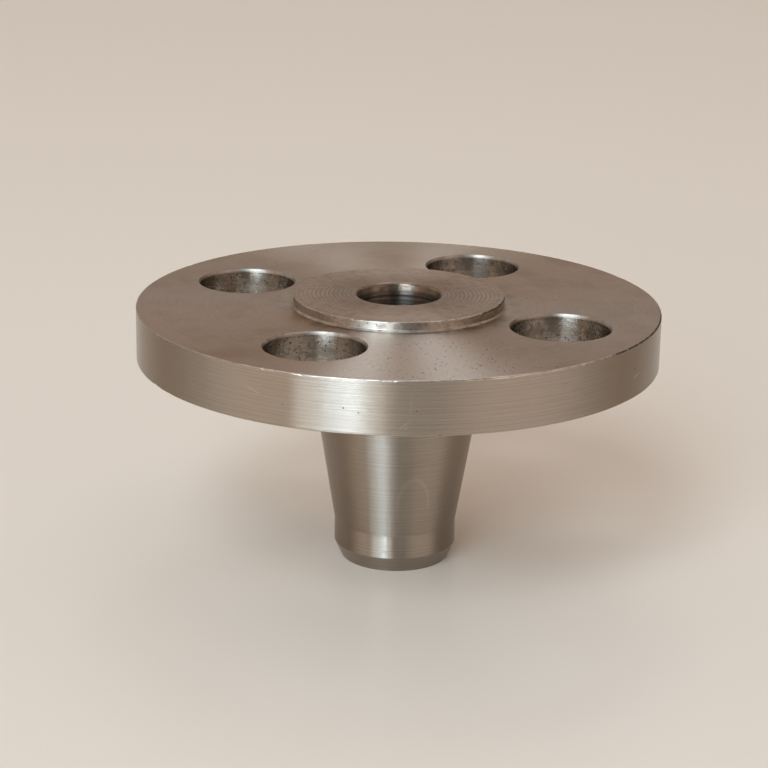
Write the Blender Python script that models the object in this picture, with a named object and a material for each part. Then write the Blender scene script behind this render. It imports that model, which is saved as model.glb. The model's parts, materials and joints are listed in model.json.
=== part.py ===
"""Weld neck pipe flange, half inch, class 150, raised face, metric drilling.

One steel forging, turned all over and drilled for four bolts. It stands on its weld end,
with the bore along +Z and the gasket face on top. The origin is the centre of the weld end.
Lengths below are in millimetres; the objects are built in metres.
"""

import math

import bmesh
import bpy
from mathutils import Vector

MM = 0.001

# Heights, from the weld end up
NECK_LENGTH = 36.8
RING_THICKNESS = 9.0
FACE_HEIGHT = 1.7

# The flange ring
RING_DIAMETER = 90.0
RIM_CHAMFER_TOP = 0.3
RIM_CHAMFER_BACK = 0.15

# The raised gasket face, with the stepped foot that the facing tool leaves around it
FACE_DIAMETER = 36.4
FACE_EDGE_BREAK = 0.2
FACE_FOOT_WIDTH = 0.35
FACE_FOOT_HEIGHT = 0.35

# The tapered neck and its end, prepared for butt welding to a half inch pipe
PIPE_DIAMETER = 21.3
HUB_DIAMETER = 31.2
HUB_FILLET = 2.5
LAND_TOP = 6.8
WELD_BEVEL_HEIGHT = 2.8
WELD_BEVEL_DEPTH = 1.3

# The bore, countersunk where it meets the gasket face
BORE_DIAMETER = 13.9
COUNTERSINK_WIDTH = 0.35
COUNTERSINK_DEPTH = 1.25
BORE_END_BREAK = 0.2

# The bolt holes, which straddle the X and Y axes
BOLT_CIRCLE_DIAMETER = 60.3
BOLT_HOLE_DIAMETER = 16.7
MOUTH_CHAMFER_WIDTH = 0.25
MOUTH_CHAMFER_DEPTH = 0.5
BOLT_HOLE_COUNT = 4
FIRST_HOLE_ANGLE = math.pi / BOLT_HOLE_COUNT

# How finely round shapes are cut into flats
TURNED_STEPS = 96
DRILLED_STEPS = 48
FILLET_STEPS = 5
CUTTER_OVERRUN = 1.0
SHARP_ANGLE = math.radians(30.0)
MERGE_DISTANCE = 0.000001

BACK = NECK_LENGTH
RING_TOP = BACK + RING_THICKNESS
FACE_TOP = RING_TOP + FACE_HEIGHT

STEEL_COLOUR = (0.36, 0.33, 0.30, 1.0)
STEEL_ROUGHNESS = 0.35


def clear_scene():
    """Remove whatever the scene holds, so that the script can run again."""
    for thing in list(bpy.data.objects):
        bpy.data.objects.remove(thing, do_unlink=True)


def steel():
    """Bare turned steel."""
    material = bpy.data.materials.new("turned_steel")
    material.use_nodes = True
    shader = material.node_tree.nodes["Principled BSDF"]
    shader.inputs["Base Color"].default_value = STEEL_COLOUR
    shader.inputs["Metallic"].default_value = 1.0
    shader.inputs["Roughness"].default_value = STEEL_ROUGHNESS
    return material


def fillet(before, corner, after, radius):
    """Points of an arc that rounds the corner of a profile, from its first leg to its second."""
    corner = Vector(corner)
    first = (Vector(before) - corner).normalized()
    second = (Vector(after) - corner).normalized()
    half_angle = first.angle(second) / 2
    tangent_length = radius / math.tan(half_angle)
    centre = corner + (first + second).normalized() * radius / math.sin(half_angle)
    start = corner + first * tangent_length - centre
    end = corner + second * tangent_length - centre
    points = []
    for step in range(FILLET_STEPS + 1):
        points.append(tuple(centre + radius * start.slerp(end, step / FILLET_STEPS)))
    return points


def flange_profile():
    """Radius and height along the turned outline, out over the top, down, and back up the bore."""
    bore = BORE_DIAMETER / 2
    rim = RING_DIAMETER / 2
    face = FACE_DIAMETER / 2
    pipe = PIPE_DIAMETER / 2
    hub = HUB_DIAMETER / 2
    root = pipe - WELD_BEVEL_DEPTH

    countersink = [
        (bore, FACE_TOP - COUNTERSINK_DEPTH),
        (bore + COUNTERSINK_WIDTH, FACE_TOP),
    ]
    raised_face = [
        (face - FACE_EDGE_BREAK, FACE_TOP),
        (face, FACE_TOP - FACE_EDGE_BREAK),
        (face, RING_TOP + FACE_FOOT_HEIGHT),
        (face + FACE_FOOT_WIDTH, RING_TOP),
    ]
    ring = [
        (rim - RIM_CHAMFER_TOP, RING_TOP),
        (rim, RING_TOP - RIM_CHAMFER_TOP),
        (rim, BACK + RIM_CHAMFER_BACK),
        (rim - RIM_CHAMFER_BACK, BACK),
    ]
    hub_fillet = fillet((rim, BACK), (hub, BACK), (pipe, LAND_TOP), HUB_FILLET)
    weld_end = [
        (pipe, LAND_TOP),
        (pipe, WELD_BEVEL_HEIGHT),
        (root, 0.0),
        (bore + BORE_END_BREAK, 0.0),
        (bore, BORE_END_BREAK),
    ]
    return countersink + raised_face + ring + hub_fillet + weld_end


def drill_profile():
    """Radius and height down the side of a drill that chamfers both mouths of a bolt hole."""
    drill = BOLT_HOLE_DIAMETER / 2
    flare = MOUTH_CHAMFER_WIDTH / MOUTH_CHAMFER_DEPTH
    outer = drill + MOUTH_CHAMFER_WIDTH + CUTTER_OVERRUN * flare
    return [
        (0.0, RING_TOP + CUTTER_OVERRUN),
        (outer, RING_TOP + CUTTER_OVERRUN),
        (drill, RING_TOP - MOUTH_CHAMFER_DEPTH),
        (drill, BACK + MOUTH_CHAMFER_DEPTH),
        (outer, BACK - CUTTER_OVERRUN),
        (0.0, BACK - CUTTER_OVERRUN),
    ]


def turned(name, profile, steps, closed):
    """An object made by turning a profile about its own Z axis."""
    outline = bmesh.new()
    points = [outline.verts.new((radius * MM, 0.0, height * MM)) for radius, height in profile]
    for start, end in zip(points, points[1:]):
        outline.edges.new((start, end))
    if closed:
        outline.edges.new((points[-1], points[0]))
    mesh = bpy.data.meshes.new(name)
    outline.to_mesh(mesh)
    outline.free()

    thing = bpy.data.objects.new(name, mesh)
    bpy.context.scene.collection.objects.link(thing)
    turning = thing.modifiers.new("turning", "SCREW")
    turning.axis = "Z"
    turning.steps = steps
    turning.render_steps = steps
    turning.use_merge_vertices = True
    turning.merge_threshold = MERGE_DISTANCE
    return thing


def bolt_hole_drills():
    """One cutter for each bolt hole, evenly spaced on the bolt circle."""
    drills = []
    for index in range(BOLT_HOLE_COUNT):
        angle = FIRST_HOLE_ANGLE + index * 2 * math.pi / BOLT_HOLE_COUNT
        drill = turned(f"bolt_hole_drill_{index + 1}", drill_profile(), DRILLED_STEPS, closed=False)
        reach = BOLT_CIRCLE_DIAMETER / 2 * MM
        drill.location = (reach * math.cos(angle), reach * math.sin(angle), 0.0)
        drill.rotation_euler = (0.0, 0.0, angle)
        drill.hide_render = True
        drill.display_type = "WIRE"
        drills.append(drill)
    return drills


def drill_through(thing, drills):
    """Cut every drill out of the object and keep the result as its mesh, shaded by angle."""
    for drill in drills:
        cut = thing.modifiers.new(drill.name, "BOOLEAN")
        cut.operation = "DIFFERENCE"
        cut.solver = "EXACT"
        cut.object = drill
    bpy.context.view_layer.update()
    depsgraph = bpy.context.evaluated_depsgraph_get()
    mesh = bpy.data.meshes.new_from_object(thing.evaluated_get(depsgraph))
    thing.modifiers.clear()
    thing.data = mesh
    mesh.shade_smooth()
    mesh.set_sharp_from_angle(angle=SHARP_ANGLE)


def build():
    """Turn the forging, drill it and give it its steel."""
    clear_scene()
    flange = turned("weld_neck_flange", flange_profile(), TURNED_STEPS, closed=True)
    drill_through(flange, bolt_hole_drills())
    flange.data.materials.clear()
    flange.data.materials.append(steel())


build()
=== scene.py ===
"""Looks of the weld neck flange: its turned and drilled steel, a plain floor and soft light.

Lengths are in millimetres unless a comment says otherwise; objects are built in metres, in
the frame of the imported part. An angle "from the view" is counted in degrees, anticlockwise
seen from above, from the side of the flange that faces the camera.
"""

import json
import math

import bmesh
import bpy
from mathutils import Matrix, Vector, noise


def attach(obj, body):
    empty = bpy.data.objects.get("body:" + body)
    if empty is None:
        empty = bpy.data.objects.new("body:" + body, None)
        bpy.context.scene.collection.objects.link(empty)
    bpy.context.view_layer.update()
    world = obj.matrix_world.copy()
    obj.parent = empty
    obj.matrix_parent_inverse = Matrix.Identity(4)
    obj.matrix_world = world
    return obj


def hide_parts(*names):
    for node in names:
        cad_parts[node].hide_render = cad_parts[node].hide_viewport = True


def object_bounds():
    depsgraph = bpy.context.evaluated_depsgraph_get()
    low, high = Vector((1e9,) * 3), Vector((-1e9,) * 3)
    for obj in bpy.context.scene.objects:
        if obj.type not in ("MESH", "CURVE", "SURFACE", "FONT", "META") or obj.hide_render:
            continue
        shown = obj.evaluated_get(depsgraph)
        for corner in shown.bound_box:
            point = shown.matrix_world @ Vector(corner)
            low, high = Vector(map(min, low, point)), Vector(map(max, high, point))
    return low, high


MM = 0.001
NODE = "weld_neck_flange"

# The camera: where it stands, what it aims at, and its lens
VIEW_AZIMUTH = -18.7
CAMERA_ELEVATION = 16.27
CAMERA_DISTANCE = 384.9
CAMERA_ORBIT_HEIGHT = 38.5
CAMERA_AIM_SIDE = -2.3
CAMERA_AIM_HEIGHT = 31.2
CAMERA_ROLL = 0.97
CAMERA_LENS = 104.2
CAMERA_SENSOR = 36.0

# The turned outline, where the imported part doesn't state it
FACE_RADIUS = 18.2
FACE_HEIGHT = 1.7
FOOT_WIDTH = 0.35
PIPE_RADIUS = 10.65
HUB_RADIUS = 15.6
HUB_FILLET = 2.5
LAND_TOP = 6.8
WELD_BEVEL_HEIGHT = 2.8
WELD_BEVEL_DEPTH = 1.3
BORE_RADIUS = 6.95
BORE_END_BREAK = 0.2
COUNTERSINK_WIDTH = 0.35
COUNTERSINK_DEPTH = 1.25
BOLT_HOLE_RADIUS = 8.35
MOUTH_CHAMFER_WIDTH = 0.25
MOUTH_CHAMFER_DEPTH = 0.5
CUTTER_OVERRUN = 1.0

# Roundings left on the edges by filing and handling
RIM_TOP_ROUNDING = 0.10
RIM_BACK_ROUNDING = 0.16
FACE_ROUNDING = 0.16
BORE_ROUNDING = 0.5
MOUTH_ROUNDING = 0.4
LIP_ROUNDING = 2.0
FINE_ROUNDING = 0.08
FOOT_TOP_ROUNDING = 0.10
FOOT_ROUNDING = 0.15
TAPER_BLEND = 2.0
# How much a worn edge varies around the flange, in slow waves and in quick ones
UNEVEN_SHARE = 0.3
SLOW_WAVES = 4
QUICK_WAVES = 24

# The grooves of the gasket face, deep enough to be shape, and the plain strips beside them
GROOVE_PITCH = 0.74
GROOVE_DEPTH = 0.035
GROOVE_STEPS = 2
PLAIN_AT_BORE = 0.55
PLAIN_AT_EDGE = 0.35

# How finely the surface is cut, in degrees around the bore and in steps
TURNED_STEP = 1.25
CRUSHED_STEP = 0.3
CLOSEST_STEP = 0.1
DRILLED_STEPS = 144
ARC_STEPS = 4
# Distance from the end of an arc to the point that keeps the flat beside it flat
SUPPORT = 0.06
SHARP_ANGLE = math.radians(24.0)

# Knocks on the rim's edges: angle from the view, width along the edge, and how much edge is lost
TOP_KNOCKS = [
    (20, 14.0, 0.16), (-88, 0.8, 0.10), (-61, 0.5, 0.08), (-47, 0.5, 0.08), (-27.5, 0.35, 0.20),
    (-26, 0.9, 0.06), (-20.4, 0.5, 0.10), (-19.3, 0.35, 0.16), (-16.5, 0.9, 0.10), (-12, 0.5, 0.07),
    (-2.9, 0.3, 0.14), (-1.6, 0.4, 0.08), (-0.6, 0.3, 0.16), (8, 0.6, 0.06), (21, 0.8, 0.07),
    (40.5, 0.35, 0.16), (43, 0.5, 0.08), (87.5, 0.5, 0.20), (118, 1.0, 0.12), (163, 0.6, 0.16),
    (201, 0.8, 0.12), (238, 0.5, 0.16),
]
BACK_KNOCKS = [
    (-62, 0.7, 0.22), (-60, 0.4, 0.10), (-55, 0.4, 0.08), (-31, 0.4, 0.10), (-9, 0.5, 0.08),
    (-2, 0.35, 0.14), (7, 0.35, 0.10), (33, 0.6, 0.08), (75, 0.5, 0.12), (124, 0.8, 0.18),
    (180, 0.5, 0.12), (229, 0.6, 0.16),
]
# The same for the edge of the gasket face
FACE_KNOCKS = [
    (-75, 0.5, 0.10), (-58, 0.35, 0.12), (-41, 0.4, 0.08), (-24, 0.3, 0.10), (-3, 0.4, 0.06),
    (17, 0.35, 0.10), (33, 0.5, 0.08), (61, 0.35, 0.16), (71, 0.3, 0.22), (104, 0.5, 0.12),
    (150, 0.4, 0.14), (196, 0.5, 0.10), (242, 0.4, 0.12),
]
# A stretch of the rim's top edge that was crushed and has gone dark: its ends and the length over
# which it fades in, in degrees from the view, how round and how deep it is, and where it is dark
CRUSHED_FROM = 48.0
CRUSHED_TO = 88.0
CRUSHED_FADE = 8.0
CRUSHED_ROUNDING = 0.18
CRUSHED_DEPTH = 0.22
CRUSHED_DARK = 0.25
# Single scratches and dents of the rim: angle, height, length, tilt, width and colour
RIM_MARKS = [
    (1.4, 38.5, 2.0, 38.0, 0.10, (0.60, 0.56, 0.52)),
    (1.9, 38.2, 1.2, 34.0, 0.08, (0.62, 0.58, 0.54)),
    (2.8, 41.5, 6.5, 88.0, 0.14, (0.45, 0.41, 0.37)),
    (-7.5, 40.4, 0.3, 0.0, 0.28, (0.06, 0.05, 0.04)),
    (3.9, 40.9, 0.25, 0.0, 0.22, (0.08, 0.065, 0.05)),
    (-23.2, 40.4, 0.25, 0.0, 0.2, (0.08, 0.065, 0.05)),
    (-7.0, 39.2, 0.5, 0.0, 0.1, (0.14, 0.12, 0.10)),
    (36, 43.2, 1.5, 6.0, 0.10, (0.20, 0.165, 0.13)),
    (150, 42.0, 3.0, 20.0, 0.12, (0.56, 0.52, 0.48)),
    (-120, 40.5, 2.2, -15.0, 0.12, (0.56, 0.52, 0.48)),
]
# The ghost of an arched stain on the neck: angle from the view, sine of its half width, heights
GHOST_ANGLE = 15.5
GHOST_HALF_WIDTH = 0.24
GHOST_FOOT = 12.0
GHOST_HEIGHT = 5.8

# The parts of the surface that differ in finish, each a material slot of the mesh
REGIONS = [
    "bore", "lip", "face", "foot", "ring", "edge", "rim", "back", "neck", "land", "bevel", "hole",
    "mouth", "crushed",
]
# Regions whose first corner is rounded off as a rubbed edge
ROUND_REGIONS = {"rim": "edge", "foot": "edge"}

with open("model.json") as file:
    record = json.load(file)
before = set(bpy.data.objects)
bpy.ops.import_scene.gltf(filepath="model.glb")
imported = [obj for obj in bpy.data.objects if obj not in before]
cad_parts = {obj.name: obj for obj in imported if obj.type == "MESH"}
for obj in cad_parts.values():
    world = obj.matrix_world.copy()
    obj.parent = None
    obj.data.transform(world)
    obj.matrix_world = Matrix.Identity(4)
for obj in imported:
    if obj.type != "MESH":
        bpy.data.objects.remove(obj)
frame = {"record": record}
cad_low, cad_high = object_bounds()
RIM_RADIUS = (cad_high.x - cad_low.x) / 2 / MM
TOP = cad_high.z / MM
RING_TOP = TOP - FACE_HEIGHT


def mount(name):
    """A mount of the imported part."""
    return next(m for m in frame["record"]["mounts"] if m["name"] == name)


BACK = mount("nut_face")["pos_m"][2] / MM


# ---------------------------------------------------------------- the turned outline


def rounded(before, corner, after, radius):
    """Points of the arc that rounds a corner, with a support point just beyond each end."""
    corner = Vector(corner)
    first = (Vector(before) - corner).normalized()
    second = (Vector(after) - corner).normalized()
    half_angle = first.angle(second) / 2
    tangent = radius / math.tan(half_angle)
    centre = corner + (first + second).normalized() * radius / math.sin(half_angle)
    start = corner + first * tangent - centre
    end = corner + second * tangent - centre
    points = [corner + first * (tangent + SUPPORT)]
    for step in range(ARC_STEPS + 1):
        points.append(centre + radius * start.slerp(end, step / ARC_STEPS))
    points.append(corner + second * (tangent + SUPPORT))
    return points


def grooves(start, end):
    """Corners of the gasket face: shallow scoops of a round-nosed tool, with crests between."""
    count = round((end - start) / GROOVE_PITCH)
    rows = []
    for step in range(count * GROOVE_STEPS + 1):
        across = step % GROOVE_STEPS / GROOVE_STEPS
        depth = GROOVE_DEPTH * (1 - (2 * across - 1) ** 2)
        radius = start + (end - start) * step / count / GROOVE_STEPS
        rows.append((radius, TOP - depth, 0, "face"))
    return rows


def corners(face_rounding, rim_rounding, back_rounding):
    """The turned outline: radius, height, rounding, and the region that starts at the corner."""
    mouth = BORE_RADIUS + COUNTERSINK_WIDTH
    foot = FACE_RADIUS + FOOT_WIDTH
    root = PIPE_RADIUS - WELD_BEVEL_DEPTH
    return [
        (BORE_RADIUS, 0.0, BORE_END_BREAK, "bore"),
        (BORE_RADIUS, TOP - COUNTERSINK_DEPTH, LIP_ROUNDING, "lip"),
        (mouth, TOP, BORE_ROUNDING, "face"),
        *grooves(mouth + PLAIN_AT_BORE, FACE_RADIUS - PLAIN_AT_EDGE),
        (FACE_RADIUS, TOP, face_rounding, "foot"),
        (FACE_RADIUS, RING_TOP + FOOT_WIDTH, FOOT_TOP_ROUNDING, "foot"),
        (foot, RING_TOP, FOOT_ROUNDING, "ring"),
        (RIM_RADIUS, RING_TOP, rim_rounding, "rim"),
        (RIM_RADIUS, BACK, back_rounding, "back"),
        (HUB_RADIUS, BACK, HUB_FILLET, "neck"),
        (PIPE_RADIUS, LAND_TOP, TAPER_BLEND, "land"),
        (PIPE_RADIUS, WELD_BEVEL_HEIGHT, FINE_ROUNDING, "bevel"),
        (root, 0.0, FINE_ROUNDING, "back"),
    ]


def outline(*roundings):
    """The outline with its corners rounded, as (region, radius, height) rows."""
    turns = corners(*roundings)
    rows = []
    for index, (radius, height, rounding, region) in enumerate(turns):
        if rounding == 0:
            rows.append((region, radius, height))
            continue
        before = turns[index - 1][:2]
        after = turns[(index + 1) % len(turns)][:2]
        points = rounded(before, (radius, height), after, rounding)
        arc_region = ROUND_REGIONS.get(region, region)
        names = [turns[index - 1][3]] + [arc_region] * ARC_STEPS + [region] * 2
        rows += [(name, *point) for name, point in zip(names, points)]
    return rows


def bearing(angle):
    """Radians about +Z, for an angle from the view."""
    return math.radians(angle - 90 + VIEW_AZIMUTH)


def away_from(angle, target):
    """Degrees between two angles, the short way round."""
    return abs((angle - target + 180) % 360 - 180)


def ripple(angle, waves, seed):
    """Noise that runs once around the flange and meets itself."""
    turn = math.radians(angle)
    return noise.noise((waves * math.cos(turn), waves * math.sin(turn), seed))


def worn(rounding, knocks, radius, angle):
    """An edge's rounding at an angle from the view: uneven all round, and wider at each knock."""
    uneven = ripple(angle, SLOW_WAVES, rounding) + 0.5 * ripple(angle, QUICK_WAVES, rounding)
    size = rounding * (1 + UNEVEN_SHARE * uneven)
    for place, width, loss in knocks:
        spread = math.degrees(width / radius)
        if away_from(angle, place) < 3 * spread:
            size += loss * math.exp(-((away_from(angle, place) / spread) ** 2))
    return size


def crushing(angle):
    """How badly the rim's top edge is crushed at an angle from the view, from 0 to 1."""
    if not CRUSHED_FROM < angle < CRUSHED_TO:
        return 0.0
    ends = min((angle - CRUSHED_FROM) / CRUSHED_FADE, CRUSHED_TO - angle, 1.0)
    ragged = noise.noise((angle / 1.3, 0.3, 0.0)) + 0.6 * noise.noise((angle / 0.5, 1.3, 0.0))
    return max(0.0, min(1.0, ends * (0.9 + ragged)))


def turn_angles():
    """Angles from the view at which the outline is set, closer together where the edge is worn."""
    angles = [-180 + TURNED_STEP * step for step in range(round(360 / TURNED_STEP))]
    for knocks, radius in ((TOP_KNOCKS + BACK_KNOCKS, RIM_RADIUS), (FACE_KNOCKS, FACE_RADIUS)):
        for place, width, _ in knocks:
            spread = math.degrees(width / radius)
            angles += [place + spread * step / 2 for step in range(-5, 6)]
    crushed_steps = round((CRUSHED_TO - CRUSHED_FROM) / CRUSHED_STEP)
    angles += [CRUSHED_FROM + CRUSHED_STEP * step for step in range(crushed_steps)]
    angles = sorted((angle + 180) % 360 - 180 for angle in angles)
    kept = [angles[0]]
    for angle in angles[1:]:
        if angle - kept[-1] >= CLOSEST_STEP and angle < angles[0] + 360 - CLOSEST_STEP:
            kept.append(angle)
    return kept


def turned_mesh():
    """The flange before drilling, as one closed skin of quads with a material for each region."""
    vertices = []
    slots = []
    angles = turn_angles()
    for angle in angles:
        turn = bearing(angle)
        crushed = crushing(angle)
        rim_rounding = worn(RIM_TOP_ROUNDING, TOP_KNOCKS, RIM_RADIUS, angle)
        back_rounding = worn(RIM_BACK_ROUNDING, BACK_KNOCKS, RIM_RADIUS, angle)
        face_rounding = worn(FACE_ROUNDING, FACE_KNOCKS, FACE_RADIUS, angle)
        rows = outline(face_rounding, rim_rounding + crushed * CRUSHED_ROUNDING, back_rounding)
        for region, radius, height in rows:
            x = radius * math.cos(turn)
            y = radius * math.sin(turn)
            vertices.append((x * MM, y * MM, height * MM))
            at_top = region == "edge" and height > RING_TOP - CRUSHED_DEPTH
            dark = at_top and crushed > CRUSHED_DARK
            slots.append(REGIONS.index("crushed" if dark else region))
    count = len(rows)
    faces = []
    for step in range(len(angles)):
        here = step * count
        there = (step + 1) % len(angles) * count
        for point in range(count):
            after = (point + 1) % count
            faces.append((here + point, there + point, there + after, here + after))
    mesh = bpy.data.meshes.new("turned_flange")
    mesh.from_pydata(vertices, [], faces)
    mesh.polygons.foreach_set("material_index", slots)
    return mesh


def hole_centres():
    """Centres of the bolt holes in metres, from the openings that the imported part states."""
    centres = []
    for opening in frame["record"]["physics"]["openings"]:
        if opening["name"].startswith("bolt_hole"):
            low, high = opening["box_m"]
            centres.append(((low[0] + high[0]) / 2, (low[1] + high[1]) / 2))
    return centres


def drill_outline():
    """Down the side of a bolt hole cutter: region that starts there, radius and height."""
    drill = BOLT_HOLE_RADIUS
    flare = MOUTH_CHAMFER_WIDTH / MOUTH_CHAMFER_DEPTH
    outer = drill + MOUTH_CHAMFER_WIDTH + CUTTER_OVERRUN * flare
    start = (outer, RING_TOP + CUTTER_OVERRUN)
    end = (outer, BACK - CUTTER_OVERRUN)
    upper_corner = (drill, RING_TOP - MOUTH_CHAMFER_DEPTH)
    lower_corner = (drill, BACK + MOUTH_CHAMFER_DEPTH)
    upper = rounded(start, upper_corner, (drill, BACK), MOUTH_ROUNDING)
    lower = rounded((drill, RING_TOP), lower_corner, end, MOUTH_ROUNDING)
    rows = [("mouth", *start)]
    rows += [("mouth", *point) for point in upper[:-2]]
    rows += [("hole", *point) for point in upper[-2:]]
    rows += [("hole", *point) for point in lower[:1]]
    rows += [("mouth", *point) for point in lower[1:]]
    rows += [("mouth", *end)]
    return rows


def drills():
    """All the bolt hole cutters as one mesh."""
    shape = bmesh.new()
    rows = drill_outline()
    for centre_x, centre_y in hole_centres():
        rings = []
        for _, radius, height in rows:
            ring = []
            for step in range(DRILLED_STEPS):
                angle = 2 * math.pi * step / DRILLED_STEPS
                x = centre_x + radius * MM * math.cos(angle)
                y = centre_y + radius * MM * math.sin(angle)
                ring.append(shape.verts.new((x, y, height * MM)))
            rings.append(ring)
        shape.faces.new(rings[0])
        shape.faces.new(rings[-1][::-1])
        for (region, _, _), upper, lower in zip(rows, rings, rings[1:]):
            for step in range(DRILLED_STEPS):
                after = (step + 1) % DRILLED_STEPS
                face = shape.faces.new((upper[step], lower[step], lower[after], upper[after]))
                face.material_index = REGIONS.index(region)
    bmesh.ops.recalc_face_normals(shape, faces=shape.faces)
    mesh = bpy.data.meshes.new("bolt_hole_drills")
    shape.to_mesh(mesh)
    shape.free()
    return mesh


def outward(mesh):
    """Turn every face of a closed mesh to look outwards."""
    shape = bmesh.new()
    shape.from_mesh(mesh)
    bmesh.ops.recalc_face_normals(shape, faces=shape.faces)
    shape.to_mesh(mesh)
    shape.free()


def in_scene(name, mesh):
    """A new object in the scene."""
    thing = bpy.data.objects.new(name, mesh)
    bpy.context.scene.collection.objects.link(thing)
    return thing


def flange(materials):
    """The finished piece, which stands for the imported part's node."""
    blank = turned_mesh()
    outward(blank)
    piece = in_scene("turned_flange", blank)
    cutter = in_scene("bolt_hole_drills", drills())
    for material in materials:
        piece.data.materials.append(material)
        cutter.data.materials.append(material)
    drilling = piece.modifiers.new("drilling", "BOOLEAN")
    drilling.operation = "DIFFERENCE"
    drilling.solver = "EXACT"
    drilling.object = cutter
    bpy.context.view_layer.update()
    depsgraph = bpy.context.evaluated_depsgraph_get()
    piece.data = bpy.data.meshes.new_from_object(piece.evaluated_get(depsgraph))
    piece.modifiers.clear()
    bpy.data.objects.remove(cutter, do_unlink=True)
    piece.data.shade_smooth()
    piece.data.set_sharp_from_angle(angle=SHARP_ANGLE)
    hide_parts(NODE)
    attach(piece, "root")


# ---------------------------------------------------------------- steel


class Nodes:
    """The node tree of a material or a world, with short calls for the nodes used here."""

    def __init__(self, owner):
        owner.use_nodes = True
        self.owner = owner
        self.tree = owner.node_tree
        self.shader = self.tree.nodes.get("Principled BSDF")

    def feed(self, socket, value):
        """Link an output to a socket, or set the socket to a plain value."""
        if isinstance(value, bpy.types.NodeSocket):
            self.tree.links.new(value, socket)
        else:
            socket.default_value = value

    def math(self, operation, first, second=0.0, third=0.0):
        """Combine up to three numbers."""
        node = self.tree.nodes.new("ShaderNodeMath")
        node.operation = operation
        for socket, value in zip(node.inputs, (first, second, third)):
            self.feed(socket, value)
        return node.outputs["Value"]

    def vector(self, x, y, z):
        """A vector from three numbers."""
        node = self.tree.nodes.new("ShaderNodeCombineXYZ")
        for socket, value in zip(node.inputs, (x, y, z)):
            self.feed(socket, value)
        return node.outputs["Vector"]

    def noise(self, vector, scale=1.0, detail=2.0, roughness=0.5):
        """Cloudy noise from 0 to 1."""
        node = self.tree.nodes.new("ShaderNodeTexNoise")
        self.feed(node.inputs["Vector"], vector)
        node.inputs["Scale"].default_value = scale
        node.inputs["Detail"].default_value = detail
        node.inputs["Roughness"].default_value = roughness
        return node.outputs["Fac"]

    def place(self, kind="Object"):
        """The place on the object, in metres, or another kind of coordinate."""
        return self.tree.nodes.new("ShaderNodeTexCoord").outputs[kind]

    def between(self, value, low, high, to_low=0.0, to_high=1.0):
        """Map a range of values smoothly onto another, clamped at its ends."""
        node = self.tree.nodes.new("ShaderNodeMapRange")
        node.interpolation_type = "SMOOTHSTEP"
        for socket, number in zip(node.inputs, (value, low, high, to_low, to_high)):
            self.feed(socket, number)
        return node.outputs["Result"]

    def mix(self, share, first, second):
        """Mix two colours."""
        node = self.tree.nodes.new("ShaderNodeMix")
        node.data_type = "RGBA"
        self.feed(node.inputs["Factor"], share)
        for name, value in (("A", first), ("B", second)):
            socket = next(s for s in node.inputs if s.name == name and s.type == "RGBA")
            self.feed(socket, (*value, 1.0) if isinstance(value, tuple) else value)
        return next(s for s in node.outputs if s.type == "RGBA")

    def turned_place(self):
        """Cosine and sine of the angle about the bore, distance from it, and height, in mm."""
        split = self.tree.nodes.new("ShaderNodeSeparateXYZ")
        self.feed(split.inputs["Vector"], self.place())
        x, y, z = split.outputs
        square = self.math("ADD", self.math("MULTIPLY", x, x), self.math("MULTIPLY", y, y))
        radius = self.math("SQRT", square)
        cosine = self.math("DIVIDE", x, radius)
        sine = self.math("DIVIDE", y, radius)
        return cosine, sine, self.math("DIVIDE", radius, MM), self.math("DIVIDE", z, MM)

    def facing(self, angle):
        """Cosine of the turn about the bore between a place and an angle from the view."""
        cosine, sine, _, _ = self.turned_place()
        turn = bearing(angle)
        aside = self.math("MULTIPLY", sine, math.sin(turn))
        return self.math("MULTIPLY_ADD", cosine, math.cos(turn), aside)

    def lines(self, across, per_mm, detail=3.0):
        """Unbroken lines around the bore."""
        line = self.tree.nodes.new("ShaderNodeTexNoise")
        line.noise_dimensions = "1D"
        self.feed(line.inputs["W"], self.math("MULTIPLY", across, per_mm))
        line.inputs["Scale"].default_value = 1.0
        line.inputs["Detail"].default_value = detail
        return line.outputs["Fac"]

    def tool_marks(self, across, dashes, per_mm, unbroken):
        """Lines around the bore: across is the radius or height that they stack along.

        A share of them, unbroken, runs all the way round, and the rest comes in short dashes.
        """
        cosine, sine, _, _ = self.turned_place()
        dash = self.noise(
            self.vector(
                self.math("MULTIPLY", cosine, dashes),
                self.math("MULTIPLY", sine, dashes),
                self.math("MULTIPLY", across, 1.7 * per_mm),
            )
        )
        whole = self.math("MULTIPLY", self.lines(across, per_mm), unbroken)
        return self.math("MULTIPLY_ADD", dash, 1 - unbroken, whole)

    def bump(self, height, distance):
        """Raise the surface where the height is 1, by a distance in mm."""
        node = self.tree.nodes.new("ShaderNodeBump")
        node.inputs["Distance"].default_value = distance * MM
        self.feed(node.inputs["Height"], height)
        self.feed(self.shader.inputs["Normal"], node.outputs["Normal"])

    def around_bore(self):
        """The direction of the turning marks."""
        tangent = self.tree.nodes.new("ShaderNodeTangent")
        tangent.direction_type = "RADIAL"
        tangent.axis = "Z"
        return tangent.outputs["Tangent"]

    def around_drill(self):
        """The level direction along an upright wall, which is the way that a drill turns."""
        geometry = self.tree.nodes.new("ShaderNodeNewGeometry")
        tangent = self.tree.nodes.new("ShaderNodeVectorMath")
        tangent.operation = "CROSS_PRODUCT"
        self.feed(tangent.inputs[0], geometry.outputs["True Normal"])
        tangent.inputs[1].default_value = (0.0, 0.0, 1.0)
        return tangent.outputs["Vector"]

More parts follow.
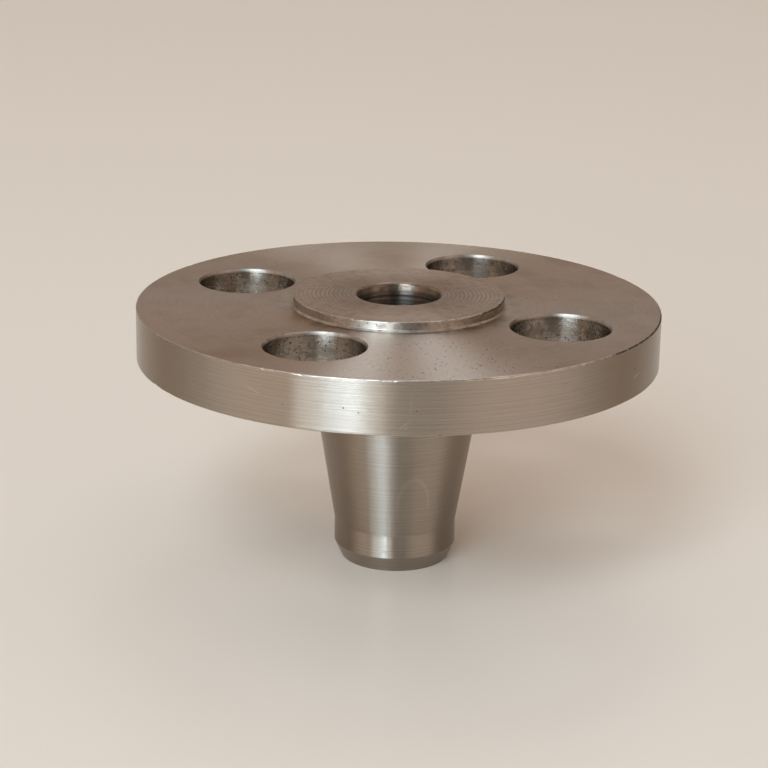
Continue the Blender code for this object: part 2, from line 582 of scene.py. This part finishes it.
    def steel(self, colour, roughness, anisotropy, tangent=None):
        """Metal whose highlights are drawn out across its tool marks, a quarter turn from them."""
        self.feed(self.shader.inputs["Base Color"], colour)
        self.feed(self.shader.inputs["Roughness"], roughness)
        self.shader.inputs["Metallic"].default_value = 1.0
        self.shader.inputs["Anisotropic"].default_value = anisotropy
        self.shader.inputs["Anisotropic Rotation"].default_value = 0.25
        self.feed(self.shader.inputs["Tangent"], tangent or self.around_bore())


# Colours of the steel where it is clean, dulled by handling, brown with patina, and dirty
CLEAN = (0.425, 0.377, 0.328)
WORN = (0.345, 0.30, 0.254)
PATINA = (0.34, 0.285, 0.235)
DIRTY = (0.12, 0.095, 0.075)


def finish(name):
    """A new material and its nodes."""
    return Nodes(bpy.data.materials.new(name))


def lined(nodes, stacked, dashes, per_mm, contrast, clean=CLEAN, dull=WORN, unbroken=0.5):
    """Fine tool marks around the bore: their height, and a colour that varies with them."""
    _, _, radius, height = nodes.turned_place()
    marks = nodes.tool_marks(height if stacked == "height" else radius, dashes, per_mm, unbroken)
    share = nodes.between(marks, 0.5 - contrast, 0.5 + contrast)
    return marks, nodes.mix(share, dull, clean)


def specked(nodes, colour, per_mm, share, size, dark=DIRTY, patch=6.0, where=1.0):
    """Small dark pits that gather in patches. Gives the new colour and the pits' mask."""
    cells = nodes.tree.nodes.new("ShaderNodeTexVoronoi")
    nodes.feed(cells.inputs["Vector"], nodes.place())
    cells.inputs["Scale"].default_value = per_mm / MM
    chosen = nodes.tree.nodes.new("ShaderNodeSeparateColor")
    nodes.feed(chosen.inputs["Color"], cells.outputs["Color"])
    crowd = nodes.noise(nodes.place(), scale=1 / (patch * MM))
    chance = nodes.between(crowd, 0.4, 0.7, 0.0, share)
    lucky = nodes.math("LESS_THAN", chosen.outputs["Red"], chance)
    inside = nodes.between(cells.outputs["Distance"], size * 0.5, size, 1.0, 0.0)
    mask = nodes.math("MULTIPLY", nodes.math("MULTIPLY", lucky, where), inside)
    return nodes.mix(mask, colour, dark), mask


def stained(nodes, colour, stain, size, low, high, strength):
    """Soft irregular stains of a given size in mm. Gives the new colour and the stains' mask."""
    cloud = nodes.noise(nodes.place(), scale=1 / (size * MM), detail=5.0, roughness=0.6)
    mask = nodes.between(cloud, low, high, 0.0, strength)
    return nodes.mix(mask, colour, stain), mask


def painted_side_shade(nodes, colour, brown, angles, strength):
    """Painted shade: steel turned darker and browner around each of some angles from the view."""
    for angle in angles:
        side = nodes.between(nodes.facing(angle), 0.84, 0.99, 0.0, strength)
        colour = nodes.mix(side, colour, brown)
    return colour


def marked(nodes, colour, radius, marks):
    """Single scratches and spots: angle from the view, height, length, tilt, width, colour."""
    _, _, _, height = nodes.turned_place()
    for angle, middle, length, tilt, width, shade in marks:
        aside = nodes.math("MULTIPLY", nodes.facing(angle + 90), -radius)
        above = nodes.math("SUBTRACT", height, middle)
        cosine = math.cos(math.radians(tilt))
        sine = math.sin(math.radians(tilt))
        along = nodes.math("MULTIPLY_ADD", aside, -cosine, nodes.math("MULTIPLY", above, sine))
        across = nodes.math("MULTIPLY_ADD", aside, sine, nodes.math("MULTIPLY", above, cosine))
        near = nodes.between(nodes.math("ABSOLUTE", along), length * 0.3, length * 0.5, 1.0, 0.0)
        thin = nodes.between(nodes.math("ABSOLUTE", across), width * 0.25, width * 0.5, 1.0, 0.0)
        colour = nodes.mix(nodes.math("MULTIPLY", near, thin), colour, shade)
    return colour


def rougher(nodes, base, *shares):
    """A roughness that grows by each (mask, amount) pair."""
    total = base
    for mask, amount in shares:
        total = nodes.math("MULTIPLY_ADD", mask, amount, total)
    return total


def ring_steel():
    """The faced ring: satin, with hair-fine circles, brown stains and pits, and a painted paler
    sheen in front.
    """
    nodes = finish("ring_steel")
    _, _, radius, _ = nodes.turned_place()
    marks, colour = lined(nodes, "radius", 7.0, 2.2, 0.27)
    colour, mottle = stained(nodes, colour, PATINA, 0.5, 0.35, 0.65, 0.25)
    colour, stains = stained(nodes, colour, (0.27, 0.215, 0.165), 9.0, 0.42, 0.75, 0.55)
    # Darker in cloudy patches within a few mm of the foot of the raised face
    foot = nodes.between(radius, FACE_RADIUS + 0.5, FACE_RADIUS + 4.5, 1.0, 0.0)
    cloud = nodes.noise(nodes.place(), scale=1 / (2.5 * MM), detail=4.0)
    foot_darkening = nodes.math("MULTIPLY", foot, nodes.between(cloud, 0.4, 0.7))
    colour = nodes.mix(foot_darkening, colour, (0.2, 0.16, 0.125))
    # Painted highlight: a paler sheen on the front of the ring, toward the camera
    painted_front_sheen = nodes.between(nodes.facing(3), 0.85, 0.99, 0.0, 0.6)
    colour = nodes.mix(painted_front_sheen, colour, (0.52, 0.48, 0.44))
    colour, pits = specked(nodes, colour, 1.6, 0.12, 0.26)
    front = nodes.between(nodes.facing(14), 0.88, 0.97)
    colour, cluster = specked(nodes, colour, 1.9, 0.5, 0.34, (0.08, 0.062, 0.05), 2.5, front)
    roughness = rougher(nodes, 0.24, (mottle, 0.04), (stains, 0.05), (pits, 0.2), (cluster, 0.2))
    nodes.steel(colour, roughness, 1.0)
    nodes.bump(nodes.math("SUBTRACT", marks, pits), 0.007)
    return nodes.owner


def gasket_steel():
    """The grooved face: duller and browner, with painted shade in the grooves that is strongest at
    the sides, and scuffed on the crests.
    """
    nodes = finish("gasket_face_steel")
    clean = (0.43, 0.37, 0.315)
    dull = (0.38, 0.32, 0.27)
    marks, colour = lined(nodes, "radius", 4.0, 1.3, 0.25, clean, dull, unbroken=0.7)
    _, _, radius, _ = nodes.turned_place()
    turn = nodes.math("MULTIPLY", radius, 2 * math.pi / GROOVE_PITCH)
    inner = nodes.between(radius, 9.0, 15.0, 0.55, 0.0)
    colour = nodes.mix(inner, colour, (0.20, 0.155, 0.12))
    # Painted shade in the groove valleys, strongest at the left and right sides and nearer the bore
    sides = nodes.between(nodes.math("ABSOLUTE", nodes.facing(90)), 0.3, 0.8, 0.25, 1.0)
    depth = nodes.math("MULTIPLY", nodes.between(radius, 10.0, 17.0, 1.0, 0.5), sides)
    painted_groove_shade = nodes.math("MULTIPLY", nodes.between(nodes.math("SINE", turn), -0.4, 0.9), depth)
    colour = nodes.mix(painted_groove_shade, colour, (0.18, 0.14, 0.105))
    colour, mottle = stained(nodes, colour, (0.17, 0.125, 0.09), 1.9, 0.42, 0.70, 0.5)
    dashes = nodes.tool_marks(radius, 5.0, 2.6, 0.0)
    front = nodes.between(nodes.facing(5), 0.55, 0.90, 0.25, 0.8)
    scuffs = nodes.math("MULTIPLY", nodes.between(dashes, 0.62, 0.72), front)
    colour = nodes.mix(scuffs, colour, (0.60, 0.55, 0.50))
    colour, pits = specked(nodes, colour, 1.3, 0.06, 0.3)
    nodes.steel(colour, rougher(nodes, 0.25, (mottle, 0.12), (scuffs, -0.06), (pits, 0.2)), 0.8)
    nodes.bump(nodes.math("ADD", nodes.math("SUBTRACT", marks, pits), scuffs), 0.006)
    return nodes.owner


def rim_steel():
    """The rim: brushed around with short hair-fine lines, with painted brown shade at its sides."""
    nodes = finish("rim_steel")
    _, _, _, height = nodes.turned_place()
    marks, colour = lined(nodes, "height", 9.0, 5.0, 0.15, unbroken=0.72)
    colour, stains = stained(nodes, colour, PATINA, 6.0, 0.5, 0.8, 0.3)
    # Painted shade: darker and browner toward the rim's two sides
    colour = painted_side_shade(nodes, colour, (0.21, 0.152, 0.103), (-72, 70), 0.9)
    colour, pits = specked(nodes, colour, 1.0, 0.03, 0.16)
    colour = marked(nodes, colour, RIM_RADIUS, RIM_MARKS)
    hairs = nodes.lines(height, 13.0, 1.0)
    nodes.steel(colour, rougher(nodes, 0.195, (marks, 0.04), (stains, 0.05), (pits, 0.2)), 1.0)
    nodes.bump(nodes.math("MULTIPLY_ADD", hairs, 0.8, nodes.math("SUBTRACT", marks, pits)), 0.012)
    return nodes.owner


def ghost_arch(nodes, height):
    """Mask of the pale outline that an arched stain left on the front of the neck."""
    aside = nodes.math("DIVIDE", nodes.facing(GHOST_ANGLE + 90), GHOST_HALF_WIDTH)
    above = nodes.math("MAXIMUM", nodes.math("SUBTRACT", height, GHOST_FOOT), 0.0)
    above = nodes.math("DIVIDE", above, GHOST_HEIGHT)
    square = nodes.math("MULTIPLY_ADD", aside, aside, nodes.math("MULTIPLY", above, above))
    off = nodes.math("ABSOLUTE", nodes.math("SUBTRACT", nodes.math("SQRT", square), 1.0))
    line = nodes.between(off, 0.02, 0.14, 0.22, 0.0)
    risen = nodes.between(height, GHOST_FOOT - 2.5, GHOST_FOOT + 2.0)
    front = nodes.math("GREATER_THAN", nodes.facing(GHOST_ANGLE), 0.5)
    return nodes.math("MULTIPLY", nodes.math("MULTIPLY", line, risen), front)


def neck_steel():
    """The neck: turned to a fine finish, with painted brown shade at its sides and the ghost of a
    stain.
    """
    nodes = finish("neck_steel")
    _, _, _, height = nodes.turned_place()
    marks, colour = lined(nodes, "height", 4.0, 3.5, 0.3, unbroken=0.85)
    colour, stains = stained(nodes, colour, PATINA, 5.0, 0.5, 0.8, 0.3)
    # Painted shade: darker and browner toward the neck's two sides
    colour = painted_side_shade(nodes, colour, (0.235, 0.18, 0.135), (-57, 67), 0.7)
    colour = nodes.mix(ghost_arch(nodes, height), colour, (0.56, 0.50, 0.43))
    hairs = nodes.lines(height, 12.0, 1.0)
    nodes.steel(colour, rougher(nodes, 0.29, (marks, 0.05), (stains, 0.05)), 1.0)
    nodes.bump(nodes.math("ADD", hairs, marks), 0.017)
    return nodes.owner


def land_steel():
    """The short land above the weld bevel, turned finer than the neck."""
    nodes = finish("land_steel")
    marks, colour = lined(nodes, "height", 4.0, 3.5, 0.35, unbroken=0.9)
    # Painted shade: darker and browner toward the land's two sides
    colour = painted_side_shade(nodes, colour, (0.225, 0.17, 0.125), (-62, 66), 0.76)
    nodes.steel(colour, rougher(nodes, 0.245, (marks, 0.04)), 1.0)
    nodes.bump(marks, 0.008)
    return nodes.owner


def bevel_steel():
    """The weld bevel: a smooth, browner cut."""
    nodes = finish("bevel_steel")
    clean = (0.34, 0.295, 0.25)
    dull = (0.30, 0.255, 0.21)
    marks, colour = lined(nodes, "height", 4.0, 3.0, 0.3, clean, dull, unbroken=0.8)
    nodes.steel(colour, rougher(nodes, 0.26, (marks, 0.05)), 0.9)
    return nodes.owner


def face_wall_steel():
    """The short wall below the gasket face: soft satin, browner in patches."""
    nodes = finish("face_wall_steel")
    clean = (0.60, 0.54, 0.48)
    dull = (0.50, 0.435, 0.375)
    marks, colour = lined(nodes, "height", 8.0, 3.0, 0.25, clean, dull)
    colour, stains = stained(nodes, colour, (0.25, 0.185, 0.135), 1.1, 0.42, 0.68, 0.6)
    colour, pits = specked(nodes, colour, 2.2, 0.4, 0.3, patch=2.0)
    nodes.steel(colour, rougher(nodes, 0.37, (stains, 0.1), (pits, 0.2)), 0.8)
    nodes.bump(nodes.math("SUBTRACT", marks, nodes.math("ADD", stains, pits)), 0.02)
    return nodes.owner


def drilled_steel():
    """A drilled wall: dark, torn and pitted between bright patches."""
    nodes = finish("drilled_steel")
    clean = (0.52, 0.47, 0.42)
    dull = (0.33, 0.285, 0.24)
    marks, colour = lined(nodes, "height", 8.0, 2.5, 0.25, clean, dull)
    colour, torn = stained(nodes, colour, DIRTY, 0.8, 0.48, 0.70, 0.7)
    colour, stains = stained(nodes, colour, (0.20, 0.165, 0.13), 3.0, 0.45, 0.65, 0.7)
    colour, pits = specked(nodes, colour, 1.9, 0.5, 0.36, (0.05, 0.04, 0.03), patch=2.0)
    roughness = rougher(nodes, 0.25, (torn, 0.12), (stains, 0.06), (pits, 0.2))
    nodes.steel(colour, roughness, 1.0, nodes.around_drill())
    nodes.bump(nodes.math("SUBTRACT", marks, nodes.math("ADD", pits, torn)), 0.012)
    return nodes.owner


def bored_steel():
    """The bore: ridged by the boring tool and darkened."""
    nodes = finish("bored_steel")
    clean = (0.52, 0.48, 0.44)
    dull = (0.26, 0.22, 0.18)
    marks, colour = lined(nodes, "height", 1.5, 2.0, 0.2, clean, dull, unbroken=0.7)
    colour, stains = stained(nodes, colour, DIRTY, 2.0, 0.45, 0.75, 0.35)
    nodes.steel(colour, rougher(nodes, 0.26, (marks, 0.05), (stains, 0.1)), 0.9)
    nodes.bump(marks, 0.06)
    return nodes.owner


def countersunk_steel():
    """The countersink, dull and brown like the face, with lines from the cutter."""
    nodes = finish("countersunk_steel")
    clean = (0.35, 0.29, 0.24)
    dull = (0.26, 0.205, 0.16)
    marks, colour = lined(nodes, "height", 4.0, 3.5, 0.25, clean, dull)
    colour, stains = stained(nodes, colour, DIRTY, 1.6, 0.45, 0.68, 0.7)
    nodes.steel(colour, rougher(nodes, 0.34, (marks, 0.05), (stains, 0.12)), 0.8)
    nodes.bump(nodes.math("SUBTRACT", marks, stains), 0.02)
    return nodes.owner


def rubbed_steel(name, roughness, clean, drilled=False):
    """A filed or rubbed edge: bright bare steel with soft highlights."""
    nodes = finish(name)
    tangent = nodes.around_drill() if drilled else None
    dull = (0.34, 0.295, 0.25)
    marks, colour = lined(nodes, "height", 12.0, 2.0, 0.2, clean, dull)
    colour, _ = stained(nodes, colour, (0.26, 0.215, 0.17), 1.5, 0.45, 0.70, 0.6)
    nodes.steel(colour, rougher(nodes, roughness, (marks, 0.08)), 0.3, tangent)
    nodes.bump(marks, 0.01)
    return nodes.owner


def crushed_steel():
    """A crushed edge, dark with old scale."""
    nodes = finish("crushed_steel")
    clean = (0.17, 0.14, 0.115)
    dull = (0.05, 0.042, 0.035)
    marks, colour = lined(nodes, "height", 30.0, 2.0, 0.2, clean, dull)
    nodes.steel(colour, rougher(nodes, 0.4, (marks, 0.1)), 0.0)
    nodes.bump(marks, 0.02)
    return nodes.owner


def finishes():
    """One material for each region, in the order of REGIONS."""
    ring = ring_steel()
    made = {
        "bore": bored_steel(),
        "lip": countersunk_steel(),
        "face": gasket_steel(),
        "foot": face_wall_steel(),
        "ring": ring,
        "edge": rubbed_steel("edge_steel", 0.28, (0.74, 0.70, 0.66)),
        "rim": rim_steel(),
        "back": ring,
        "neck": neck_steel(),
        "land": land_steel(),
        "bevel": bevel_steel(),
        "hole": drilled_steel(),
        "mouth": rubbed_steel("mouth_steel", 0.36, (0.60, 0.56, 0.52), drilled=True),
        "crushed": crushed_steel(),
    }
    return [made[region] for region in REGIONS]


# ---------------------------------------------------------------- stage, light and camera


FLOOR_COLOUR = (0.875, 0.80, 0.71)
FLOOR_ROUGHNESS = 0.32
FLOOR_SPECULAR = 0.15

# Sizes of the stage, in metres
FLOOR_RADIUS = 3.0
PANE_DISTANCE = 2.4

# Flat lights, a tall window in panes and two ceiling lamps: azimuths from the view, elevations,
# radiance, colour. The window is dim between its lowest and highest panes, so that a level top
# which mirrors it keeps its marks.
PANES = {
    "window_far": ((-42.5, -37.5), (1, 9), 4.6, (0.86, 0.97, 1.0)),
    "window_side": ((-37.5, -30.9), (1, 9), 7.6, (0.84, 0.95, 1.0)),
    "window_middle": ((-30.4, -21.5), (1, 9), 16.5, (0.69, 0.86, 1.0)),
    "window_near": ((-21.5, -12.9), (1, 9), 23.0, (0.69, 0.86, 1.0)),
    "window_gap": ((-12.4, -8.4), (1, 9), 4.2, (0.95, 0.99, 1.0)),
    "window_strip": ((-8.0, -5.6), (1, 9), 12.0, (0.95, 0.97, 0.93)),
    "window_upper": ((-42.5, -5.6), (9, 44), 1.7, (0.75, 0.89, 1.0)),
    "window_fill": ((-42.5, -5.6), (9, 44), 4.3, (0.75, 0.89, 1.0)),
    "window_top": ((-30.4, -12.9), (38, 58), 7.0, (0.80, 0.92, 1.0)),
    "ceiling_left": ((-176.5, -172.5), (44, 56), 4.0, (0.85, 0.95, 1.0)),
    "ceiling_right": ((169, 175), (43, 57), 4.0, (0.82, 0.92, 1.0)),
}
# Lights that brighten the floor and show in no reflection
UNREFLECTED = ("window_fill",)

# Soft patches of the room around: azimuth from the view and elevation of the middle, reach,
# colour
GLOWS = {
    "front_left": (-60, 5, 32, (1.27, 0.95, 0.70)),
    "front_right": (52, 5, 37, (1.19, 0.91, 0.77)),
    "high_front": (12, 56, 37, (0.37, 0.335, 0.325)),
    "high_right": (104, 40, 40, (0.42, 0.33, 0.26)),
    "high_left": (-112, 34, 42, (0.42, 0.36, 0.31)),
    "back_left": (-125, 8, 40, (0.16, 0.135, 0.115)),
    "back": (180, 8, 34, (0.46, 0.37, 0.32)),
    "back_right": (125, 8, 40, (0.12, 0.095, 0.075)),
    "high_back_left": (-155, 42, 34, (0.39, 0.25, 0.15)),
    "high_back_right": (155, 42, 34, (0.42, 0.35, 0.29)),
    "ceiling": (180, 82, 45, (0.50, 0.49, 0.49)),
}


def floor():
    """A plain pale floor with a faint sheen."""
    bpy.ops.mesh.primitive_circle_add(vertices=96, radius=FLOOR_RADIUS, fill_type="NGON")
    plane = bpy.context.object
    plane.name = "floor"
    nodes = finish("pale_floor")
    nodes.shader.inputs["Base Color"].default_value = (*FLOOR_COLOUR, 1.0)
    nodes.shader.inputs["Roughness"].default_value = FLOOR_ROUGHNESS
    nodes.shader.inputs["Specular IOR Level"].default_value = FLOOR_SPECULAR
    plane.data.materials.append(nodes.owner)


def direction(azimuth, elevation):
    """Unit vector from the flange to a place in the room: angle from the view, elevation."""
    turn = bearing(azimuth)
    rise = math.radians(elevation)
    level = math.cos(rise)
    return Vector((math.cos(turn) * level, math.sin(turn) * level, math.sin(rise)))


def pane(name, azimuths, elevations, radiance, colour):
    """A flat light that fills a stretch of azimuth and elevation, seen from the flange."""
    middle = direction(sum(azimuths) / 2, sum(elevations) / 2)
    lamp = bpy.data.lights.new(name, "AREA")
    lamp.shape = "RECTANGLE"
    lamp.size = 2 * PANE_DISTANCE * math.tan(math.radians(azimuths[1] - azimuths[0]) / 2)
    lamp.size_y = 2 * PANE_DISTANCE * math.tan(math.radians(elevations[1] - elevations[0]) / 2)
    lamp.energy = radiance * math.pi * lamp.size * lamp.size_y
    lamp.color = colour
    light = in_scene(name, lamp)
    light.location = Vector((0, 0, CAMERA_ORBIT_HEIGHT * MM)) + middle * PANE_DISTANCE
    light.rotation_euler = middle.to_track_quat("Z", "Y").to_euler()
    light.visible_camera = False
    light.visible_glossy = name not in UNREFLECTED


def room():
    """The room around: dim, with a soft glow for each wall and stretch of ceiling."""
    world = bpy.data.worlds.new("room")
    nodes = Nodes(world)
    where = nodes.place("Generated")
    total = None
    for name, (azimuth, elevation, reach, colour) in GLOWS.items():
        nearness = nodes.tree.nodes.new("ShaderNodeVectorMath")
        nearness.operation = "DOT_PRODUCT"
        nodes.feed(nearness.inputs[0], where)
        nearness.inputs[1].default_value = direction(azimuth, elevation)
        share = nodes.between(nearness.outputs["Value"], math.cos(math.radians(reach)), 1.0)
        glow = nodes.tree.nodes.new("ShaderNodeVectorMath")
        glow.name = name
        glow.operation = "SCALE"
        glow.inputs[0].default_value = colour
        nodes.feed(glow.inputs["Scale"], share)
        if total is None:
            total = glow.outputs["Vector"]
            continue
        added = nodes.tree.nodes.new("ShaderNodeVectorMath")
        nodes.feed(added.inputs[0], total)
        nodes.feed(added.inputs[1], glow.outputs["Vector"])
        total = added.outputs["Vector"]
    nodes.feed(nodes.tree.nodes["Background"].inputs["Color"], total)
    bpy.context.scene.world = world


def camera():
    """A long lens, a little above the gasket face."""
    data = bpy.data.cameras.new("camera")
    data.lens = CAMERA_LENS
    data.sensor_width = CAMERA_SENSOR
    data.clip_start = 0.01
    data.clip_end = 20.0
    view = in_scene("camera", data)
    rise = math.radians(CAMERA_ELEVATION)
    back = CAMERA_DISTANCE * math.cos(rise)
    stand = Vector((0, -back, CAMERA_ORBIT_HEIGHT + CAMERA_DISTANCE * math.sin(rise)))
    aim = Vector((CAMERA_AIM_SIDE, 0, CAMERA_AIM_HEIGHT))
    facing = (aim - stand).to_track_quat("-Z", "Y").to_matrix().to_4x4()
    turn = Matrix.Rotation(math.radians(VIEW_AZIMUTH), 4, "Z")
    roll = Matrix.Rotation(math.radians(CAMERA_ROLL), 4, "Z")
    view.matrix_world = turn @ Matrix.Translation(stand * MM) @ facing @ roll
    bpy.context.scene.camera = view
    bpy.context.scene.view_settings.view_transform = "Standard"


flange(finishes())
floor()
for pane_name, settings in PANES.items():
    pane(pane_name, *settings)
room()
camera()
